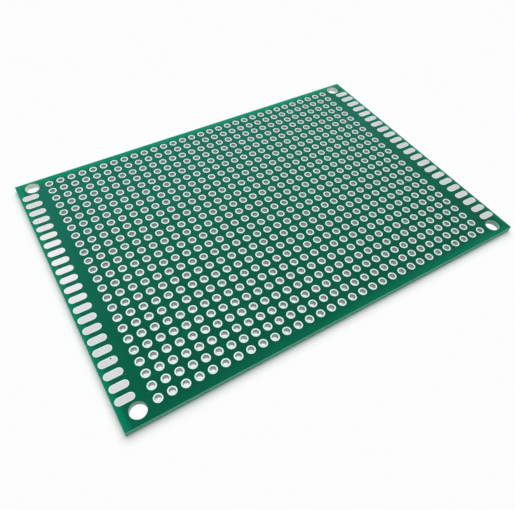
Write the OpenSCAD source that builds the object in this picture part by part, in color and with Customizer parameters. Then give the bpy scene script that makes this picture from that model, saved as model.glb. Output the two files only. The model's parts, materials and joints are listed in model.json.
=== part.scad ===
// Double-sided prototype board.
// A glass-epoxy plate carries a field of plated holes on a square grid, a row of
// long contact pads along each short edge and a mounting hole in each corner.
// Both faces have the same pads, with solder mask between them.
// The board lies flat with its long side along X. The origin is at the middle of
// the underside, at the level of the pads that the board rests on.

/* [Board] */
// Length of the board, along X
board_l = 90; // [60:0.5:160]
// Width of the board, along Y
board_w = 63.5; // [40:0.5:120]
// Thickness of the board, over the pads on both faces
board_t = 1.3; // [0.8:0.1:2.4]

/* [Plated holes] */
// Distance between neighbouring holes, along X and along Y
pitch = 2.54; // [2.2:0.01:5.08]
// Clear diameter of a plated hole
hole_d = 1.2; // [0.6:0.05:1.4]
// Width of the ring pad around a plated hole
ring_w = 0.28; // [0.2:0.01:0.45]
// Thickness of the plating on the wall of a hole
plating_t = 0.05; // [0.02:0.01:0.1]
// Thickness of a pad, above the bare plate
pad_t = 0.06; // [0.03:0.01:0.12]
// Least strip of board between the outermost rings and a long edge
side_strip = 1.3; // [0.5:0.1:6]
// Least gap between the outermost rings and the edge pads
end_gap = 1.8; // [0.4:0.1:6]
// How far the drilling, with all its pads, sits towards the back edge
drill_shift = 0.2; // [0:0.05:1]

/* [Edge pads] */
// Length of an edge pad, along X
edge_pad_l = 3.5; // [2:0.05:6]
// Width of an edge pad, along Y
edge_pad_w = 1.55; // [0.8:0.05:2.1]
// Strip of board between an edge pad and the short edge
edge_pad_inset = 0.4; // [0.25:0.05:2]

/* [Mounting holes] */
// Diameter of a mounting hole
mount_d = 3.1; // [2:0.1:5]
// Strip of board between a mounting hole and the short edge
mount_rim_x = 1.7; // [0.5:0.05:4]
// Least strip of board between a mounting hole and a long edge
mount_rim_y = 0.5; // [0.4:0.05:4]
// Least gap between a mounting hole and a pad
mount_gap = 0.2; // [0.15:0.05:2]

/* [Solder mask] */
// Thickness of the solder mask on each face
mask_t = 0.03; // [0.01:0.01:0.05]
// Gap between the solder mask and a pad
mask_gap = 0.06; // [0.02:0.01:0.08]

/* [Hidden] */
$fn = 48;

// Round the drilled hole lies the ring, and the plating lines the hole
pad_d = hole_d + 2 * ring_w;
drill_d = hole_d + 2 * plating_t;

// Heights of the plate's two faces
plate_bottom = pad_t;
plate_top = board_t - pad_t;

// The field holds as many columns and rows as the margins leave room for
field_l = board_l - 2 * (edge_pad_inset + edge_pad_l + end_gap) - pad_d;
field_w = board_w - 2 * (side_strip + drill_shift) - pad_d;
columns = floor(field_l / pitch) + 1;
rows = floor(field_w / pitch) + 1;
function column_x(c) = (c - (columns + 1) / 2) * pitch;
function row_y(r) = ((rows + 1) / 2 - r) * pitch;

// Mounting holes, one in each corner
mount_x = board_l / 2 - mount_rim_x - mount_d / 2;
mount_y = board_w / 2 - drill_shift - mount_rim_y - mount_d / 2;
mount_places = [for (x = [-mount_x, mount_x], y = [-mount_y, mount_y]) [x, y]];

// A plated hole or an edge pad is left out where a mounting hole takes its place
ring_reach = (mount_d + pad_d) / 2 + mount_gap;
function ring_fits(c, r) =
    norm([mount_x - abs(column_x(c)), mount_y - abs(row_y(r))]) >= ring_reach;
function row_columns(r) = [for (c = [1:columns]) if (ring_fits(c, r)) c];
edge_pad_limit_y = mount_y - (mount_d + edge_pad_w) / 2 - mount_gap;
edge_rows = [for (r = [1:rows]) if (abs(row_y(r)) <= edge_pad_limit_y) r];
edge_pad_x = board_l / 2 - edge_pad_inset - edge_pad_l / 2;

// Rows are counted from the back edge to the front edge
function row_node(r) = str("plated_holes_row_", r < 10 ? "0" : "", r);

laminate_colour = "#c8cda6";
mask_colour = "#006b47";
tin_colour = "#d8d8db";

// Outline of a pad or opening with round ends, centred, its length along X
module obround(l, w) {
    square([l - w, w], center = true);
    for (side = [-1, 1])
        translate([side * (l - w) / 2, 0]) circle(d = w);
}

// A child at the place of each plated hole
module at_rings() {
    for (r = [1:rows])
        for (c = row_columns(r))
            translate([column_x(c), row_y(r) + drill_shift]) children();
}

// A child at the place of each edge pad along one short edge
module at_edge_pads(side) {
    for (r = edge_rows)
        translate([side * edge_pad_x, row_y(r) + drill_shift]) children();
}

// A child at the place of each mounting hole
module at_mounts() {
    for (place = mount_places)
        translate([place.x, place.y + drill_shift]) children();
}

// Glass-epoxy plate, drilled for the plating and the mounting screws
module rigid_laminate() {
    color(laminate_colour)
        translate([0, 0, plate_bottom])
            linear_extrude(plate_top - plate_bottom)
                difference() {
                    square([board_l, board_w], center = true);
                    at_rings() circle(d = drill_d);
                    at_mounts() circle(d = mount_d);
                }
}

// One coat of solder mask, cut with the plate and open around every pad
module solder_mask() {
    color(mask_colour)
        linear_extrude(mask_t)
            difference() {
                square([board_l, board_w], center = true);
                at_rings() circle(d = pad_d + 2 * mask_gap);
                at_mounts() circle(d = mount_d);
                for (side = [-1, 1])
                    at_edge_pads(side) obround(edge_pad_l + 2 * mask_gap, edge_pad_w + 2 * mask_gap);
            }
}

module solder_mask_top() {
    translate([0, 0, plate_top]) solder_mask();
}

module solder_mask_bottom() {
    translate([0, 0, plate_bottom - mask_t]) solder_mask();
}

// Section of a plated hole: the wall's lining with a ring pad on each face of the plate
module plating_section() {
    polygon([
        [hole_d / 2, 0],
        [pad_d / 2, 0],
        [pad_d / 2, plate_bottom],
        [drill_d / 2, plate_bottom],
        [drill_d / 2, plate_top],
        [pad_d / 2, plate_top],
        [pad_d / 2, board_t],
        [hole_d / 2, board_t]
    ]);
}

// One row of plated holes
module plated_holes_row(r) {
    color(tin_colour)
        for (c = row_columns(r))
            translate([column_x(c), row_y(r) + drill_shift, 0])
                rotate_extrude() plating_section();
}

// Contact pads along one short edge, on the face whose pads begin at height z
module edge_pads(side, z) {
    color(tin_colour)
        translate([0, 0, z])
            at_edge_pads(side)
                linear_extrude(pad_t) obround(edge_pad_l, edge_pad_w);
}

module edge_pads_left_top() { edge_pads(-1, plate_top); }
module edge_pads_left_bottom() { edge_pads(-1, 0); }
module edge_pads_right_top() { edge_pads(1, plate_top); }
module edge_pads_right_bottom() { edge_pads(1, 0); }

rigid_laminate();
solder_mask_top();
solder_mask_bottom();
for (r = [1:rows])
    plated_holes_row(r);
edge_pads_left_top();
edge_pads_left_bottom();
edge_pads_right_top();
edge_pads_right_bottom();
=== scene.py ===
"""Looks of a double-sided prototype board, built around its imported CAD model.

The plate and both coats of solder mask stay as CAD solids and get worked-out finishes. The rows of plated
holes and the edge pads are modelled again with the soft, rounded tin of a dipped board, each set in the
place of its CAD node. A white floor, soft overhead light and the photograph's camera complete the scene.

Fields are in millimetres and degrees unless a docstring says otherwise, and boxes and places taken from the
CAD model are in metres. In a finish, a share is a weight in a mix, and a band holds the two limits of a
soft step.
"""

import json
import logging
import math
from dataclasses import dataclass
from enum import Enum
from typing import Callable, Optional, Union

import bpy
from mathutils import Matrix, Quaternion, Vector

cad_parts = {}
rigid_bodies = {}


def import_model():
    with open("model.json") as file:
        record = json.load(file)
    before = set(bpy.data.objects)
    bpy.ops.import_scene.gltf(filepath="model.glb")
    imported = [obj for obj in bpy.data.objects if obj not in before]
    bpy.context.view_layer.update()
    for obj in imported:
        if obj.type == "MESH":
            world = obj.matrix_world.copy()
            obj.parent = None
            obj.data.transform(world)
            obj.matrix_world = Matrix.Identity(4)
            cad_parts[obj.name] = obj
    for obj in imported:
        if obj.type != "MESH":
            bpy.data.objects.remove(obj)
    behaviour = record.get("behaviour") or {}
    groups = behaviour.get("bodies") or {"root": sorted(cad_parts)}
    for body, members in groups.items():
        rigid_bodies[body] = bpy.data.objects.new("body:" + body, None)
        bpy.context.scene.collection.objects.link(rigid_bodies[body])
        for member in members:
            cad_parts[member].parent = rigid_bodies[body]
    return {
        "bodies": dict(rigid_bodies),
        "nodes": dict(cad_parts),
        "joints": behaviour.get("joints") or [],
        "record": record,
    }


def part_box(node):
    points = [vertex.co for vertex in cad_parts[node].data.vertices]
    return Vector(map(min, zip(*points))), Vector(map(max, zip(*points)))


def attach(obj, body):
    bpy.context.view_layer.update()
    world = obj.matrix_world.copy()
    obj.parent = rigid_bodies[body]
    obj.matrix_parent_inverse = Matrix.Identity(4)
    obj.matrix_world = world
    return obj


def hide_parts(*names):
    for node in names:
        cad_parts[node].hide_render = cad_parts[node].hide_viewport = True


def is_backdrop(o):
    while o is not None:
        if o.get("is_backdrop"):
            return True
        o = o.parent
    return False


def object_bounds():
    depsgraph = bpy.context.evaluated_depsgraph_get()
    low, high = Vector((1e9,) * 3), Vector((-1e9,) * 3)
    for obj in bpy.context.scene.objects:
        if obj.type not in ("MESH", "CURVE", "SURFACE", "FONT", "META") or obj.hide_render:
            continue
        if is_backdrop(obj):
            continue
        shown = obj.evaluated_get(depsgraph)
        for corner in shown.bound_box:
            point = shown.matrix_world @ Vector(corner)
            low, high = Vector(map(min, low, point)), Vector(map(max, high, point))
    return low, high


MM = 0.001
MERGE = 0.001
BODY = "root"
LOG = logging.getLogger("prototype_board")

Colour = tuple[float, float, float]
Point = tuple[float, float, float]
Band = tuple[float, float]
Number = Union["Value", float]
SocketKey = Union[str, int]


class Side(Enum):
    """A short edge of the board."""

    LEFT = "left"
    RIGHT = "right"


class Face(Enum):
    """A face of the board."""

    TOP = "top"
    BOTTOM = "bottom"

    @property
    def up(self) -> float:
        """The sign of this face's outward normal along Z."""
        return 1.0 if self is Face.TOP else -1.0


class Slot(Enum):
    """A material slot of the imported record."""

    LAMINATE = "laminate"
    SOLDER_MASK = "solder_mask"
    TIN = "tin"


def linear(red: int, green: int, blue: int) -> Colour:
    """Turns a colour written in 8-bit display values into linear light.

    Args:
        red: Red, from 0 to 255.
        green: Green, from 0 to 255.
        blue: Blue, from 0 to 255.

    Returns:
        The colour in linear light.
    """

    def channel(level: int) -> float:
        """One channel in linear light."""
        share = level / 255
        return share / 12.92 if share <= 0.04045 else ((share + 0.055) / 1.055) ** 2.4

    return channel(red), channel(green), channel(blue)


class Value:
    """An output socket of a graph, with arithmetic that adds Math nodes where it is a number."""

    def __init__(self, graph: "ShaderGraph", socket: bpy.types.NodeSocket) -> None:
        """Wraps an output socket of a graph."""
        self.graph = graph
        self.socket = socket

    def _math(self, operation: str, *terms: Number) -> "Value":
        """Adds a Math node and returns its result."""
        return self.graph.node("ShaderNodeMath", {"operation": operation}, dict(enumerate(terms)))

    def __add__(self, other: Number) -> "Value":
        """Sum."""
        return self._math("ADD", self, other)

    __radd__ = __add__

    def __sub__(self, other: Number) -> "Value":
        """Difference."""
        return self._math("SUBTRACT", self, other)

    def __rsub__(self, other: Number) -> "Value":
        """Difference from a number."""
        return self._math("SUBTRACT", other, self)

    def __mul__(self, other: Number) -> "Value":
        """Product."""
        return self._math("MULTIPLY", self, other)

    __rmul__ = __mul__

    def __abs__(self) -> "Value":
        """Size without sign."""
        return self._math("ABSOLUTE", self)

    def sine(self) -> "Value":
        """Sine, of an angle in radians."""
        return self._math("SINE", self)

    def least(self, other: Number) -> "Value":
        """The smaller of this and another."""
        return self._math("MINIMUM", self, other)

    def most(self, other: Number) -> "Value":
        """The larger of this and another."""
        return self._math("MAXIMUM", self, other)

    def step(self, start: float, end: float) -> "Value":
        """A soft step over this value.

        Args:
            start: Where the step is still 0.
            end: Where the step has reached 1; it may be below the start.

        Returns:
            A value from 0 to 1.
        """
        settings = {"interpolation_type": "SMOOTHSTEP", "clamp": True}
        sockets = {"Value": self, "From Min": min(start, end), "From Max": max(start, end)}
        made = self.graph.node("ShaderNodeMapRange", settings, sockets)
        return made if start < end else 1 - made

    def between(self, first: float, second: float) -> "Value":
        """The first number where this is 0, the second where it is 1, and evenly in between."""
        return self * (second - first) + first

    def lifted(self) -> "Value":
        """A wave from -1 to 1, brought to 0 to 1."""
        return self * 0.5 + 0.5

    def swing(self, reach: float) -> "Value":
        """Noise around 0.5, turned into a swing around 0 and multiplied by its reach."""
        return (self - 0.5) * reach


class ShaderGraph:
    """The nodes of a material or of the world."""

    def __init__(self, owner: Union[bpy.types.Material, bpy.types.World], end: str) -> None:
        """Empties the owner's nodes and adds its output.

        Args:
            owner: The new material or world.
            end: Blender's name for the type of its output node.
        """
        owner.use_nodes = True
        self.owner = owner
        self.tree = owner.node_tree
        self.tree.nodes.clear()
        self.end = self.tree.nodes.new(end)

    @classmethod
    def of_material(cls, name: str) -> "ShaderGraph":
        """The graph of a new material."""
        return cls(bpy.data.materials.new(name), "ShaderNodeOutputMaterial")

    @classmethod
    def of_world(cls, name: str) -> "ShaderGraph":
        """The graph of a new world."""
        return cls(bpy.data.worlds.new(name), "ShaderNodeOutputWorld")

    def node(
        self,
        kind: str,
        settings: Optional[dict[str, object]] = None,
        sockets: Optional[dict[SocketKey, object]] = None,
        output: SocketKey = 0,
    ) -> Value:
        """Adds a node.

        Args:
            kind: Blender's name for the type of node.
            settings: Properties of the node, set before its sockets.
            sockets: A constant or a Value for each input, by its name or number.
            output: Name or number of the output that is wanted.

        Returns:
            That output.
        """
        made = self.tree.nodes.new(kind)
        for name, setting in (settings or {}).items():
            setattr(made, name, setting)
        for key, given in (sockets or {}).items():
            self.feed(made.inputs[key], given)
        return Value(self, made.outputs[output])

    def feed(self, socket: bpy.types.NodeSocket, given: object) -> None:
        """Links a Value to a socket, or sets the socket's constant.

        Args:
            socket: The input.
            given: A Value, a number, a colour or a vector.
        """
        if isinstance(given, Value):
            self.tree.links.new(given.socket, socket)
        elif socket.type == "RGBA":
            socket.default_value = (*given, 1.0)
        else:
            socket.default_value = given

    def surface(self, shader: Value) -> None:
        """Links a shader to the output."""
        self.feed(self.end.inputs["Surface"], shader)

    def principled(self, sockets: dict[SocketKey, object]) -> Value:
        """A Principled shader, with a constant or a Value for each input."""
        return self.node("ShaderNodeBsdfPrincipled", None, sockets)

    def place(self) -> Value:
        """The point on the object, in millimetres in the board's frame."""
        at = self.node("ShaderNodeTexCoord", output="Object")
        return self.node("ShaderNodeVectorMath", {"operation": "SCALE"}, {0: at, "Scale": 1 / MM})

    def axis(self, point: Value, name: str) -> Value:
        """One coordinate of a point, named X, Y or Z."""
        return self.node("ShaderNodeSeparateXYZ", None, {0: point}, output=name)

    def noise(self, point: Value, size: float, detail: float = 2.0, roughness: float = 0.5) -> Value:
        """Soft noise around 0.5.

        Args:
            point: Where it is read, in millimetres.
            size: Size of its largest patches in millimetres.
            detail: Number of finer layers.
            roughness: Weight of the finer layers.

        Returns:
            The noise.
        """
        sockets = {"Vector": point, "Scale": 1 / size, "Detail": detail, "Roughness": roughness}
        return self.node("ShaderNodeTexNoise", {"noise_dimensions": "3D"}, sockets)

    def weave(self, point: Value, pitch: float) -> Value:
        """Crossing strands of glass cloth along X and Y.

        Args:
            point: Where it is read, in millimetres.
            pitch: Distance between strands in millimetres.

        Returns:
            A value from 0 to 1.
        """
        turn = 2 * math.pi / pitch
        across = (self.axis(point, "X") * turn).sine()
        along = (self.axis(point, "Y") * turn).sine()
        return (across * along).lifted()

    def blend(self, share: Number, first: object, second: object) -> Value:
        """Mixes two colours.

        Args:
            share: Share of the second colour, from 0 to 1.
            first: A colour, or a Value that is one.
            second: A colour, or a Value that is one.

        Returns:
            The mixed colour.
        """
        factor, colour_a, colour_b, mixed = 0, 6, 7, 2
        settings = {"data_type": "RGBA", "clamp_factor": True}
        sockets = {factor: share, colour_a: first, colour_b: second}
        return self.node("ShaderNodeMix", settings, sockets, output=mixed)

    def bump(self, height: Value, rise: float) -> Value:
        """A normal that follows a height.

        Args:
            height: The height, from 0 to 1.
            rise: Rise from 0 to 1 in millimetres.

        Returns:
            The normal.
        """
        return self.node("ShaderNodeBump", None, {"Height": height, "Distance": rise * MM})

    def ray(self, kind: str) -> Value:
        """1 for one kind of ray, such as Camera, and 0 for the others."""
        return self.node("ShaderNodeLightPath", output=f"Is {kind} Ray")


@dataclass(frozen=True)
class GlassEpoxy:
    """Bare glass-epoxy: a very dark green face round the pads as painted shade, a green cut outline with
    painted light on its upper part, and mounting-hole walls pale at the back as painted light and darker at
    the front as painted shade.
    """

    length: float
    width: float
    thickness: float
    pad_t: float = 0.06
    # Painted shade: a very dark green on the laminate's faces round the pads stands for the shade along the
    # edge of the mask.
    gap_shade: Colour = linear(2, 40, 30)
    gap_shade_band: Band = (0.01, 0.002)
    # Painted light: the cut edge runs from a greyer, darker green low down to a lighter, greener colour
    # towards the top.
    edge_shade_low: Colour = linear(92, 166, 141)
    edge_light_high: Colour = linear(58, 180, 140)
    edge_band: Band = (0.2, 0.75)
    edge_wander: float = 0.3
    rim_band: Band = (0.3, 0.1)
    # Painted light and shade: the mounting-hole walls are pale towards the back and darker towards the
    # front.
    wall_shade_front: Colour = linear(165, 200, 186)
    wall_light_back: Colour = linear(236, 250, 242)
    wall_band: Band = (-0.4, 0.4)
    char: Colour = linear(166, 182, 173)
    char_size: float = 1.2
    char_band: Band = (0.5, 0.7)
    char_share: float = 0.5
    fibre: Colour = linear(206, 238, 224)
    fibre_size: float = 0.5
    fibre_share: float = 0.3
    ply: float = 0.2
    ply_wander: float = 2.5
    ply_relief: float = 0.6
    relief: float = 0.01
    roughness: float = 0.62
    roughness_swing: float = 0.2
    specular: float = 0.25

    def material(self) -> bpy.types.Material:
        """Builds the finish.

        Returns:
            The material.
        """
        graph = ShaderGraph.of_material("glass_epoxy")
        point = graph.place()
        height = graph.axis(point, "Z")
        ragged = graph.noise(point, self.fibre_size, detail=3.0)
        plies = (height * (2 * math.pi / self.ply) + ragged * self.ply_wander).sine().lifted()
        colour = self._cut_walls(graph, point, ragged)
        colour = graph.blend(plies * ragged * self.fibre_share, colour, self.fibre)
        # Painted shade: near the upper and lower faces, within the pads' height, the colour turns to the
        # dark green.
        deep, shallow = (self.pad_t + skin for skin in self.gap_shade_band)
        face = height.least(self.thickness - height).step(deep, shallow)
        shader = graph.principled(
            {
                "Base Color": graph.blend(face, colour, self.gap_shade),
                "Roughness": self.roughness + ragged.swing(self.roughness_swing),
                "Specular IOR Level": self.specular,
                "Normal": graph.bump(plies * self.ply_relief + ragged, self.relief),
            }
        )
        graph.surface(shader)
        return graph.owner

    def _cut_walls(self, graph: ShaderGraph, point: Value, ragged: Value) -> Value:
        """Colour of the cut outline, lighter at the top as painted light, and of the walls of the mounting
        holes, pale towards the back as painted light and darker towards the front as painted shade.

        Args:
            graph: The finish's graph.
            point: Where it is read, in millimetres.
            ragged: Noise that makes the layers uneven.

        Returns:
            The colour.
        """
        side = self.length / 2 - abs(graph.axis(point, "X"))
        end = self.width / 2 - abs(graph.axis(point, "Y"))
        rim = side.least(end).step(*self.rim_band)
        # Painted light: the cut edge is lighter towards its top, along a ragged boundary.
        low, high = (share * self.thickness for share in self.edge_band)
        upper = (graph.axis(point, "Z") + ragged.swing(self.edge_wander)).step(low, high)
        edge = graph.blend(upper, self.edge_shade_low, self.edge_light_high)
        # Painted light and shade: the walls turn from the darker front colour to the pale back colour.
        near, far = (share * self.width for share in self.wall_band)
        back = graph.axis(point, "Y").step(near, far)
        bore = graph.blend(back, self.wall_shade_front, self.wall_light_back)
        charred = graph.noise(point, self.char_size, detail=3.0).step(*self.char_band)
        bore = graph.blend(charred * self.char_share, bore, self.char)
        return graph.blend(rim, bore, edge)


@dataclass(frozen=True)
class SolderMask:
    """Green solder mask: a thinly laid lacquer with faint scuffs, lighter to the back as painted light.

    It is lighter along the outline, more so to the back and the right as painted light, with a faint
    painted sheen by the left-hand pads.
    """

    length: float
    width: float
    # Painted light: the mask runs from the darker front colour to the lighter back colour, tilted a little
    # to the right by the slant.
    front: Colour = linear(1, 80, 58)
    back: Colour = linear(20, 104, 87)
    # Pale green of thinned mask, used also for painted light along the outline and the painted sheen by the
    # left-hand pads.
    thin_mask_and_sheen: Colour = linear(4, 141, 104)
    slant: float = 0.08
    pool_size: float = 7.0
    pool_share: float = 0.6
    peel_size: float = 0.4
    cloth: float = 0.5
    weave_share: float = 0.08
    fleck_size: float = 0.14
    fleck_band: Band = (0.68, 0.78)
    fleck_share: float = 0.14
    smear_size: float = 1.4
    smear_squeeze: Point = (0.6, 2.4, 1.0)
    scuff_band: Band = (0.66, 0.74)
    scuff_share: float = 0.16
    hair_size: float = 2.6
    hair_band: Band = (0.014, 0.004)
    hair_patches: Band = (0.52, 0.58)
    hair_share: float = 0.2
    # Painted light: the outline strips grow lighter towards the back and the right.
    long_strip: float = 2.4
    long_base: float = 0.1
    long_back: float = 0.85
    long_right: float = 0.3
    short_strip: float = 1.44
    left_narrowing: float = 0.7
    left_base: float = 0.7
    left_back: float = 0.15
    right_base: float = 0.45
    right_back: float = 0.5
    # Painted sheen: a faint lighter band along the left-hand pads.
    left_sheen: float = 0.12
    left_sheen_band: Band = (9.0, 3.0)
    peel_relief: float = 0.7
    weave_relief: float = 0.3
    relief: float = 0.004
    roughness: float = 0.34
    pool_roughness: float = 0.12
    peel_roughness: float = 0.08
    specular: float = 0.05

    def material(self) -> bpy.types.Material:
        """Builds the finish.

        Returns:
            The material.
        """
        graph = ShaderGraph.of_material("green_solder_mask")
        point = graph.place()
        pool = graph.noise(point, self.pool_size, detail=3.0)
        peel = graph.noise(point, self.peel_size)
        weave = graph.weave(point, self.cloth)
        # Painted light: the colour grows lighter towards the back.
        reach = self.width / 2 + self.slant * self.length / 2
        light_drift = (graph.axis(point, "Y") + graph.axis(point, "X") * self.slant).step(-reach, reach)
        colour = graph.blend(light_drift + pool.swing(self.pool_share), self.front, self.back)
        colour = graph.blend(self._marks(graph, point, weave), colour, self.thin_mask_and_sheen)
        colour = graph.blend(self._outline(graph, point, light_drift), colour, self.thin_mask_and_sheen)
        rough = self.roughness + pool.swing(self.pool_roughness) + peel.swing(self.peel_roughness)
        shader = graph.principled(
            {
                "Base Color": colour,
                "Roughness": rough,
                "Specular IOR Level": self.specular,
                "Normal": graph.bump(peel * self.peel_relief + weave * self.weave_relief, self.relief),
            }
        )
        graph.surface(shader)
        return graph.owner

    def _marks(self, graph: ShaderGraph, point: Value, weave: Value) -> Value:
        """The glass cloth that shows through, with flecks, scuffs and hairline scratches.

        Args:
            graph: The finish's graph.
            point: Where it is read, in millimetres.
            weave: The strands of the cloth.

        Returns:
            Share of the pale green of thinned mask.
        """
        flecks = graph.noise(point, self.fleck_size, detail=1.0).step(*self.fleck_band)
        squeeze = {0: point, 1: self.smear_squeeze}
        streak = graph.node("ShaderNodeVectorMath", {"operation": "MULTIPLY"}, squeeze)
        smear = graph.noise(streak, self.smear_size)
        scuffs = smear.step(*self.scuff_band)
        lines = abs(graph.noise(point, self.hair_size, detail=1.0) - 0.5).step(*self.hair_band)
        hairs = lines * smear.step(*self.hair_patches)
        marks = weave * self.weave_share + flecks * self.fleck_share
        return marks + scuffs * self.scuff_share + hairs * self.hair_share

    def _outline(self, graph: ShaderGraph, point: Value, light_drift: Value) -> Value:
        """The lighter strips along the outline, made stronger towards the back and the right as painted
        light, and a faint painted sheen along the left-hand pads.

        Args:
            graph: The finish's graph.
            point: Where it is read, in millimetres.
            light_drift: From 0 at the front to 1 at the back; it weights the painted light.

        Returns:
            Share of the pale green used for the strips and the painted sheen.
        """
        side = self.length / 2 - abs(graph.axis(point, "X"))
        end = self.width / 2 - abs(graph.axis(point, "Y"))
        across = graph.axis(point, "X").step(-self.length / 2, self.length / 2)
        # Painted light: the strips are stronger towards the back and the right.
        long_level = light_drift * self.long_back + across * self.long_right + self.long_base
        long_edges = end.step(self.long_strip, 0.0) * long_level
        short_base = across.between(self.left_base, self.right_base)
        short_level = light_drift * across.between(self.left_back, self.right_back) + short_base
        inward = side * across.between(self.left_narrowing, 1.0)
        short_edges = inward.step(self.short_strip, 0.0) * short_level
        # Painted sheen along the left-hand pads.
        left_band = side.step(*self.left_sheen_band) * (1 - across) * self.left_sheen
        return long_edges.most(short_edges).most(left_band)


@dataclass(frozen=True)
class DippedTin:
    """Hot-dipped tin: satin, with a painted highlight where it rounds over, and duller and darker on the
    walls inside the holes, the darker colour being painted shade.

    It may carry a painted gleam, a painted highlight about the middle of the left-hand edge, and may carry
    specks of dirt, each given by its place on the upper face and its radius.
    """

    name: str
    thickness: float
    flat: Colour
    # Painted highlight: a brighter colour where the tin rounds over, a little below each flat top.
    rim_highlight: Colour = linear(222, 252, 245)
    rim_highlight_band: Band = (0.002, 0.02)
    # Painted shade: a darker grey-mauve on the walls inside the holes, where the tin is also rougher.
    wall: Colour = linear(178, 172, 176)
    wall_band: Band = (0.075, 0.11)
    # Painted gleam: a brighter tin colour about the middle of the left-hand edge, standing for a sheen of
    # light.
    gleam_highlight: Colour = linear(236, 236, 238)
    gleam: float = 0.0
    gleam_y: float = 6.0
    gleam_band: Band = (19.0, 2.0)
    gleam_side: Band = (10.0, -10.0)
    soot: Colour = linear(46, 42, 40)
    soot_band: Band = (1.2, 0.7)
    soot_roughness: float = 0.4
    specks: tuple[Point, ...] = ()
    pool_size: float = 3.0
    pool_tone: float = 0.9
    pool_relief: float = 0.6
    pool_roughness: float = 0.15
    grain_size: float = 0.2
    grain_weight: float = 0.6
    grain_tone: float = 0.5
    grain_relief: float = 0.4
    grain_roughness: float = 0.2
    relief: float = 0.012
    roughness: float = 0.4
    wall_roughness: float = 0.5

    def material(self) -> bpy.types.Material:
        """Builds the finish.

        Returns:
            The material.
        """
        graph = ShaderGraph.of_material(self.name)
        point = graph.place()
        height = graph.axis(point, "Z")
        depth = height.least(self.thickness - height)
        inside = depth.step(*self.wall_band)
        pool = graph.noise(point, self.pool_size, detail=3.0)
        grain = graph.noise(point, self.grain_size, detail=3.0, roughness=self.grain_weight)
        # Painted highlight on the rounded rims, mixed with random tone.
        tone = depth.step(*self.rim_highlight_band) + pool.swing(self.pool_tone) + grain.swing(self.grain_tone)
        colour = graph.blend(tone, self.flat, self.rim_highlight)
        # Painted highlight: the gleam about the middle of the left-hand edge.
        if self.gleam:
            shine = abs(graph.axis(point, "Y") - self.gleam_y).step(*self.gleam_band)
            shine = shine * graph.axis(point, "X").step(*self.gleam_side)
            colour = graph.blend(shine * self.gleam, colour, self.gleam_highlight)
        # Painted shade inside the holes.
        colour = graph.blend(inside, colour, self.wall)
        rough = self.roughness + grain.swing(self.grain_roughness) + pool.swing(self.pool_roughness)
        rough = rough + inside * (self.wall_roughness - self.roughness)
        sockets = {
            "Base Color": colour,
            "Metallic": 1.0,
            "Roughness": rough,
            "Normal": graph.bump(grain * self.grain_relief + pool * self.pool_relief, self.relief),
        }
        if self.specks:
            dirt = self._dirt(graph, point, grain)
            sockets["Base Color"] = graph.blend(dirt, colour, self.soot)
            sockets["Metallic"] = 1 - dirt
            sockets["Roughness"] = rough + dirt * self.soot_roughness
        graph.surface(graph.principled(sockets))
        return graph.owner

    def _dirt(self, graph: ShaderGraph, point: Value, grain: Value) -> Value:
        """The specks of dirt.

        Args:
            graph: The finish's graph.
            point: Where it is read, in millimetres.
            grain: Noise that makes the specks uneven.

        Returns:
            1 on a speck and 0 elsewhere.
        """
        shares: list[Value] = []
        for x, y, radius in self.specks:
            ends = {0: point, 1: (x, y, self.thickness)}
            reach = graph.node("ShaderNodeVectorMath", {"operation": "DISTANCE"}, ends, output="Value")
            outer, inner = (share * radius for share in self.soot_band)
            shares.append((reach + grain.swing(radius)).step(outer, inner))
        total = shares[0]
        for share in shares[1:]:
            total = total.most(share)
        return total


@dataclass(frozen=True)
class WhiteCard:
    """Matt white card that keeps the board's shadow round the board.

    Under the board it glows white as painted light, seen through the board's holes in place of the shade
    there, a little dimmer in the plated ones than in the mounting holes.
    """

    length: float
    width: float
    paper: Colour = linear(253, 253, 253)
    tooth: Colour = linear(252, 252, 252)
    tooth_size: float = 0.8
    # Painted light: under the board the card glows white to camera and glossy rays, in place of the board's
    # shade.
    under_glow_band: Band = (0.3, 0.7)
    mount_x: float = 41.75
    mount_y: float = 29.5
    mount_band: Band = (2.6, 2.3)
    plated_glow: float = 0.74
    mount_glow: float = 1.0
    roughness: float = 0.9
    specular: float = 0.0

    def material(self) -> bpy.types.Material:
        """Builds the finish.

        Returns:
            The material.
        """
        graph = ShaderGraph.of_material("white_card")
        point = graph.place()
        tooth = graph.noise(point, self.tooth_size)
        sockets = {
            "Base Color": graph.blend(tooth, self.paper, self.tooth),
            "Roughness": self.roughness,
            "Specular IOR Level": self.specular,
        }
        # Painted light: a white glow under the board, full in the mounting holes and less in the plated
        # holes, where some of the floor's own shade shows.
        out, along = abs(graph.axis(point, "X")), abs(graph.axis(point, "Y"))
        under = (self.length / 2 - out).least(self.width / 2 - along).step(*self.under_glow_band)
        mounts = abs(out - self.mount_x).most(abs(along - self.mount_y)).step(*self.mount_band)
        level = under * mounts.between(self.plated_glow, self.mount_glow)
        seen = graph.ray("Camera").most(graph.ray("Glossy")).most(graph.ray("Transmission"))
        white = graph.node("ShaderNodeEmission", None, {"Color": (1, 1, 1), "Strength": 1.0})
        parts = {"Fac": level * seen, 1: graph.principled(sockets), 2: white}
        graph.surface(graph.node("ShaderNodeMixShader", None, parts))
        return graph.owner


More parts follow.
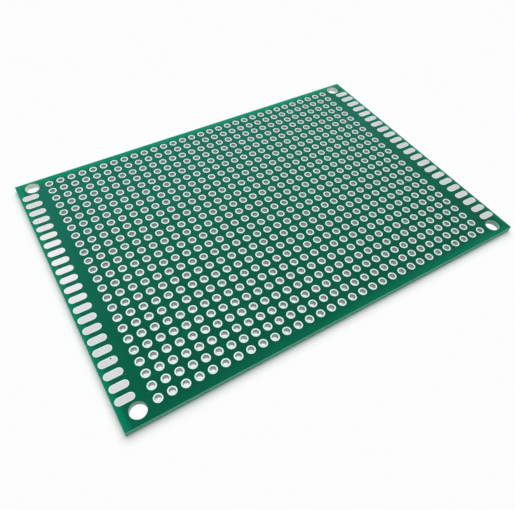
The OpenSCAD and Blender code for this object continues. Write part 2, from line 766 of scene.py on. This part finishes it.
class Workbench:
    """Blender's operators, as the board's pieces need them."""

    @staticmethod
    def start(add: Callable[..., object], name: str, **options: object) -> bpy.types.Object:
        """Adds a primitive and goes into edit mode on it.

        Args:
            add: The operator that adds the primitive.
            name: Name of the new piece.
            options: The operator's options.

        Returns:
            The new object.
        """
        bpy.ops.object.select_all(action="DESELECT")
        add(**options)
        made = bpy.context.object
        made.name = name
        made.data.name = name
        bpy.ops.object.mode_set(mode="EDIT")
        return made

    @staticmethod
    def pick_vertices(piece: bpy.types.Object, test: Callable[[int, int], bool]) -> None:
        """Selects vertices of a piece in edit mode.

        Args:
            piece: The piece being edited.
            test: True for a vertex to select, from its number and the count of vertices.
        """
        bpy.ops.mesh.select_mode(type="VERT")
        bpy.ops.mesh.select_all(action="DESELECT")
        bpy.ops.object.mode_set(mode="OBJECT")
        count = len(piece.data.vertices)
        for vertex in piece.data.vertices:
            vertex.select = test(vertex.index, count)
        bpy.ops.object.mode_set(mode="EDIT")

    @staticmethod
    def close(piece: bpy.types.Object, smooth_angle: float) -> bpy.types.Object:
        """Merges doubles, turns faces outwards, leaves edit mode and shades a piece.

        Args:
            piece: The piece being edited.
            smooth_angle: Edges below this angle in degrees are smooth.

        Returns:
            The piece.
        """
        bpy.ops.mesh.select_all(action="SELECT")
        bpy.ops.mesh.remove_doubles(threshold=MERGE * MM)
        bpy.ops.mesh.normals_make_consistent(inside=False)
        bpy.ops.object.mode_set(mode="OBJECT")
        bpy.ops.object.transform_apply(location=True, rotation=True, scale=True)
        bpy.ops.object.shade_smooth_by_angle(angle=math.radians(smooth_angle))
        return piece

    @staticmethod
    def repeat(piece: bpy.types.Object, count: int, step: Vector) -> None:
        """Repeats a piece in a straight line with an applied Array modifier.

        Args:
            piece: The piece to repeat.
            count: How many there are in all.
            step: From one copy to the next, in metres.
        """
        array = piece.modifiers.new("repeat", "ARRAY")
        array.fit_type = "FIXED_COUNT"
        array.count = count
        array.use_relative_offset = False
        array.use_constant_offset = True
        array.constant_offset_displace = step
        bpy.context.view_layer.objects.active = piece
        bpy.ops.object.modifier_apply(modifier=array.name)

    @staticmethod
    def copy(piece: bpy.types.Object, name: str, move: Matrix) -> bpy.types.Object:
        """Copies a piece with a mesh of its own.

        Args:
            piece: The finished piece.
            name: Name of the copy.
            move: How the copy's mesh is moved; its object stays unmoved.

        Returns:
            The copy.
        """
        made = piece.copy()
        made.data = piece.data.copy()
        made.name = name
        made.data.name = name
        made.data.transform(move)
        if move.determinant() < 0:
            made.data.flip_normals()
        bpy.context.scene.collection.objects.link(made)
        return made


def settle(piece: bpy.types.Object, material: bpy.types.Material, node: str) -> None:
    """Dresses a finished tin piece and ties it to the board in place of its CAD node.

    Args:
        piece: The piece.
        material: Its finish.
        node: The CAD node that it stands for.
    """
    piece.data.materials.clear()
    piece.data.materials.append(material)
    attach(piece, BODY)
    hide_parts(node)


def report(pieces: list[bpy.types.Object]) -> None:
    """Logs the name, the faces and the finish of each piece.

    Args:
        pieces: The finished pieces.
    """
    for piece in pieces:
        finish = piece.material_slots[0].material.name
        LOG.info("%s: %d faces, %s", piece.name, len(piece.data.polygons), finish)


@dataclass
class Plate:
    """The glass-epoxy plate with its two coats of mask, which keep their CAD solids."""

    frame: dict[str, object]
    finishes: dict[Slot, bpy.types.Material]

    def dress(self) -> list[bpy.types.Object]:
        """Gives each CAD solid of these slots its finish.

        Returns:
            The solids.
        """
        dressed: list[bpy.types.Object] = []
        for subpart in self.frame["record"]["subparts"]:
            slot = Slot(subpart["material_slot"])
            if slot in self.finishes:
                solid = self.frame["nodes"][subpart["node"]]
                self._paint(solid, self.finishes[slot])
                dressed.append(solid)
        return dressed

    def _paint(self, solid: bpy.types.Object, material: bpy.types.Material) -> None:
        """Puts a material in every slot of a CAD solid."""
        for slot in solid.material_slots:
            slot.material = material


@dataclass
class PlatedHoles:
    """The rows of plated holes: each a lined wall that rolls over into a rounded ring on both faces."""

    tin: bpy.types.Material
    rows: int = 24
    columns: int = 31
    segments: int = 12
    hole_d: float = 1.2
    drill_d: float = 1.3
    pad_t: float = 0.06
    lip: float = 0.045
    crown: float = 0.25
    smooth_angle: float = 70.0

    def build(self) -> list[bpy.types.Object]:
        """Models one hole, repeats it along a row and copies the row.

        Returns:
            The rows.
        """
        low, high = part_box(self._node(1))
        ring_d = high.y - low.y
        pitch = (high.x - low.x - ring_d) / (self.columns - 1)
        place = Vector((low.x + ring_d / 2, (low.y + high.y) / 2, 0))
        first = self._hole(ring_d / MM, (high.z - low.z) / MM, place)
        Workbench.repeat(first, self.columns, Vector((pitch, 0, 0)))
        made = [first]
        for row in range(2, self.rows + 1):
            front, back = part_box(self._node(row))
            move = Matrix.Translation((0, (front.y + back.y) / 2 - place.y, 0))
            made.append(Workbench.copy(first, f"tinned_holes_row_{row:02d}", move))
        for row, piece in enumerate(made, 1):
            settle(piece, self.tin, self._node(row))
        return made

    def _node(self, row: int) -> str:
        """Name of the CAD node of a row, counted from the back edge."""
        return f"plated_holes_row_{row:02d}"

    def _section(self, ring_d: float, thickness: float) -> list[tuple[float, float]]:
        """Section of a hole, as radius and height in millimetres.

        Args:
            ring_d: Outer diameter of the ring.
            thickness: Height over both rings.

        Returns:
            The corners, from the wall's lower end round to its outside.
        """
        wall, drill, rim = self.hole_d / 2, self.drill_d / 2, ring_d / 2
        ridge = wall + (rim - wall) * self.crown
        top, base = thickness, self.pad_t
        return [
            (wall, self.lip),
            (wall, top - self.lip),
            (ridge, top),
            (rim, top - base),
            (drill, top - base),
            (drill, base),
            (rim, base),
            (ridge, 0.0),
        ]

    def _hole(self, ring_d: float, thickness: float, place: Vector) -> bpy.types.Object:
        """Models one plated hole: a circle that is extruded round the section's corners and closed.

        Args:
            ring_d: Outer diameter of the ring in millimetres.
            thickness: Height over both rings in millimetres.
            place: Foot of the hole's axis.

        Returns:
            The hole, ready to repeat.
        """
        corners = self._section(ring_d, thickness)
        radius, height = corners[0]
        piece = Workbench.start(
            bpy.ops.mesh.primitive_circle_add,
            "tinned_holes_row_01",
            vertices=self.segments,
            radius=radius * MM,
            fill_type="NOTHING",
            location=place + Vector((0, 0, height * MM)),
        )
        for next_radius, next_height in corners[1:]:
            bpy.ops.mesh.extrude_region_move()
            bpy.ops.transform.translate(value=(0, 0, (next_height - height) * MM))
            grow = next_radius / radius
            bpy.ops.transform.resize(value=(grow, grow, 1), center_override=place)
            radius, height = next_radius, next_height
        loop = self.segments
        Workbench.pick_vertices(piece, lambda number, count: number < loop or number >= count - loop)
        bpy.ops.mesh.bridge_edge_loops()
        return Workbench.close(piece, self.smooth_angle)


@dataclass
class EdgePads:
    """The contact pads along the short edges: round-ended and slightly crowned, the same on both faces.

    Each step of the crown is the width of its inset and its share of the pad's height.
    """

    tin: bpy.types.Material
    count: int = 22
    pad_w: float = 1.55
    corner_steps: int = 5
    corner_merge: float = 0.002
    wall_share: float = 0.5
    crown: tuple[Band, ...] = ((0.15, 0.4), (0.3, 0.1))
    smooth_angle: float = 60.0

    def build(self) -> list[bpy.types.Object]:
        """Models one pad, repeats it along an edge and copies the set to the other edge and face.

        Returns:
            The four sets.
        """
        made: list[bpy.types.Object] = []
        here = Vector()
        for side in Side:
            for face in Face:
                node = f"edge_pads_{side.value}_{face.value}"
                name = f"tinned_edge_pads_{side.value}_{face.value}"
                low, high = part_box(node)
                there = (low + high) / 2
                if made:
                    turn = Matrix.Diagonal((1, 1, face.up, 1))
                    move = Matrix.Translation(there) @ turn @ Matrix.Translation(-here)
                    piece = Workbench.copy(made[0], name, move)
                else:
                    here = there
                    piece = self._set(name, low, high)
                made.append(piece)
                settle(piece, self.tin, node)
        return made

    def _set(self, name: str, low: Vector, high: Vector) -> bpy.types.Object:
        """Models the first set of pads, on the upper face.

        Args:
            name: Name of the piece.
            low: Lowest corner of its CAD node.
            high: Highest corner of its CAD node.

        Returns:
            The set.
        """
        width, rise = self.pad_w * MM, high.z - low.z
        place = Vector(((low.x + high.x) / 2, low.y + width / 2, low.z))
        piece = Workbench.start(bpy.ops.mesh.primitive_plane_add, name, size=1, location=place)
        bpy.ops.transform.resize(value=(high.x - low.x, width, 1), center_override=place)
        bpy.ops.mesh.bevel(offset=width / 2, segments=self.corner_steps, affect="VERTICES")
        bpy.ops.mesh.select_all(action="SELECT")
        bpy.ops.mesh.remove_doubles(threshold=self.corner_merge * MM)
        bpy.ops.mesh.select_mode(type="FACE")
        bpy.ops.mesh.select_all(action="SELECT")
        bpy.ops.mesh.extrude_region_move()
        bpy.ops.transform.translate(value=(0, 0, self.wall_share * rise))
        for inset, share in self.crown:
            bpy.ops.mesh.inset(thickness=inset * MM, depth=0)
            bpy.ops.transform.translate(value=(0, 0, share * rise))
        Workbench.close(piece, self.smooth_angle)
        step = (high.y - low.y - width) / (self.count - 1)
        Workbench.repeat(piece, self.count, Vector((0, step, 0)))
        return piece


@dataclass
class Studio:
    """White floor, soft overhead light and the photograph's camera.

    The floor's size, the key light's place and the camera's clip distances are in metres.
    """

    floor_size: float = 6.0
    floor_gap: float = 0.005
    floor_cuts: int = 3
    floor_angle: float = 30.0
    fill: float = 0.2
    key: float = 2.85
    key_angle: float = 72.0
    key_right: float = 13.0
    key_back: float = 25.0
    key_place: Point = (0.2, 0.2, 0.8)
    window: Point = (-0.1, 0.73, 0.68)
    window_band: Band = (0.55, 1.0)
    window_white: float = 1.08
    mirrored_white: float = 0.92
    eye: Point = (-45.24, -64.8, 80.63)
    aim: Point = (-8.08, -11.19, 1.3)
    roll: float = 4.2
    lens: float = 35.22
    sensor: float = 36.0
    clip_start: float = 0.005
    clip_end: float = 20.0

    def build(self, card: bpy.types.Material) -> bpy.types.Object:
        """Builds the stage.

        Args:
            card: Finish of the floor.

        Returns:
            The floor.
        """
        floor = self._floor(card)
        self._world()
        self._lamp()
        self._camera()
        bpy.context.scene.view_settings.view_transform = "Standard"
        return floor

    def _floor(self, card: bpy.types.Material) -> bpy.types.Object:
        """Lays the floor just under the pads that the board rests on.

        Args:
            card: Its finish.

        Returns:
            The floor.
        """
        add = bpy.ops.mesh.primitive_plane_add
        floor = Workbench.start(add, "floor", size=self.floor_size, location=(0, 0, -self.floor_gap * MM))
        bpy.ops.mesh.subdivide(number_cuts=self.floor_cuts)
        Workbench.close(floor, self.floor_angle)
        floor.data.materials.append(card)
        floor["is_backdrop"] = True
        return floor

    def _world(self) -> None:
        """Fills the shadows evenly, shows white to the camera and a bright window side in reflections."""
        graph = ShaderGraph.of_world("white_studio")
        towards = graph.node("ShaderNodeTexCoord", output="Generated")
        ends = {0: towards, 1: self.window}
        facing = graph.node("ShaderNodeVectorMath", {"operation": "DOT_PRODUCT"}, ends, output="Value")
        mirrored = facing.step(*self.window_band).between(self.mirrored_white, self.window_white)
        camera = graph.ray("Camera")
        glossy = graph.ray("Glossy").most(graph.ray("Transmission"))
        strength = camera + (1 - camera) * (glossy * mirrored + (1 - glossy) * self.fill)
        graph.surface(graph.node("ShaderNodeBackground", None, {"Color": (1, 1, 1), "Strength": strength}))
        bpy.context.scene.world = graph.owner

    def _lamp(self) -> None:
        """Hangs the wide, soft key light above the board, a little to the back and right."""
        data = bpy.data.lights.new("softbox", "SUN")
        data.energy = self.key
        data.angle = math.radians(self.key_angle)
        lamp = bpy.data.objects.new("softbox", data)
        lamp.rotation_euler = (-math.radians(self.key_back), math.radians(self.key_right), 0)
        lamp.location = self.key_place
        lamp.visible_glossy = False
        bpy.context.scene.collection.objects.link(lamp)

    def _camera(self) -> None:
        """Puts the camera where the photograph was taken from."""
        data = bpy.data.cameras.new("camera")
        data.sensor_width = self.sensor
        data.lens = self.lens
        data.clip_start = self.clip_start
        data.clip_end = self.clip_end
        camera = bpy.data.objects.new("camera", data)
        bpy.context.scene.collection.objects.link(camera)
        eye, aim = Vector(self.eye) * MM, Vector(self.aim) * MM
        look = (aim - eye).to_track_quat("-Z", "Y")
        camera.rotation_mode = "QUATERNION"
        camera.location = eye
        camera.rotation_quaternion = look @ Quaternion((0, 0, 1), math.radians(self.roll))
        bpy.context.scene.camera = camera


def main() -> None:
    """Builds and reports the board's pieces and its stage."""
    logging.basicConfig(level=logging.INFO, format="%(name)s: %(message)s")
    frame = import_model()
    cad_low, cad_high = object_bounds()
    size = (cad_high - cad_low) / MM
    epoxy = GlassEpoxy(*size).material()
    mask = SolderMask(length=size.x, width=size.y).material()
    rings = DippedTin("dipped_tin_rings", size.z, flat=linear(208, 243, 234)).material()
    specks = ((-42.15, -18.46, 0.15), (-42.2, -8.46, 0.07))
    pad_tin = DippedTin("dipped_tin_pads", size.z, flat=linear(213, 212, 214), gleam=0.9, specks=specks)
    pads = pad_tin.material()
    report(Plate(frame, {Slot.LAMINATE: epoxy, Slot.SOLDER_MASK: mask}).dress())
    report(PlatedHoles(rings).build())
    report(EdgePads(pads).build())
    report([Studio().build(WhiteCard(size.x, size.y).material())])


if __name__ == "__main__":
    main()
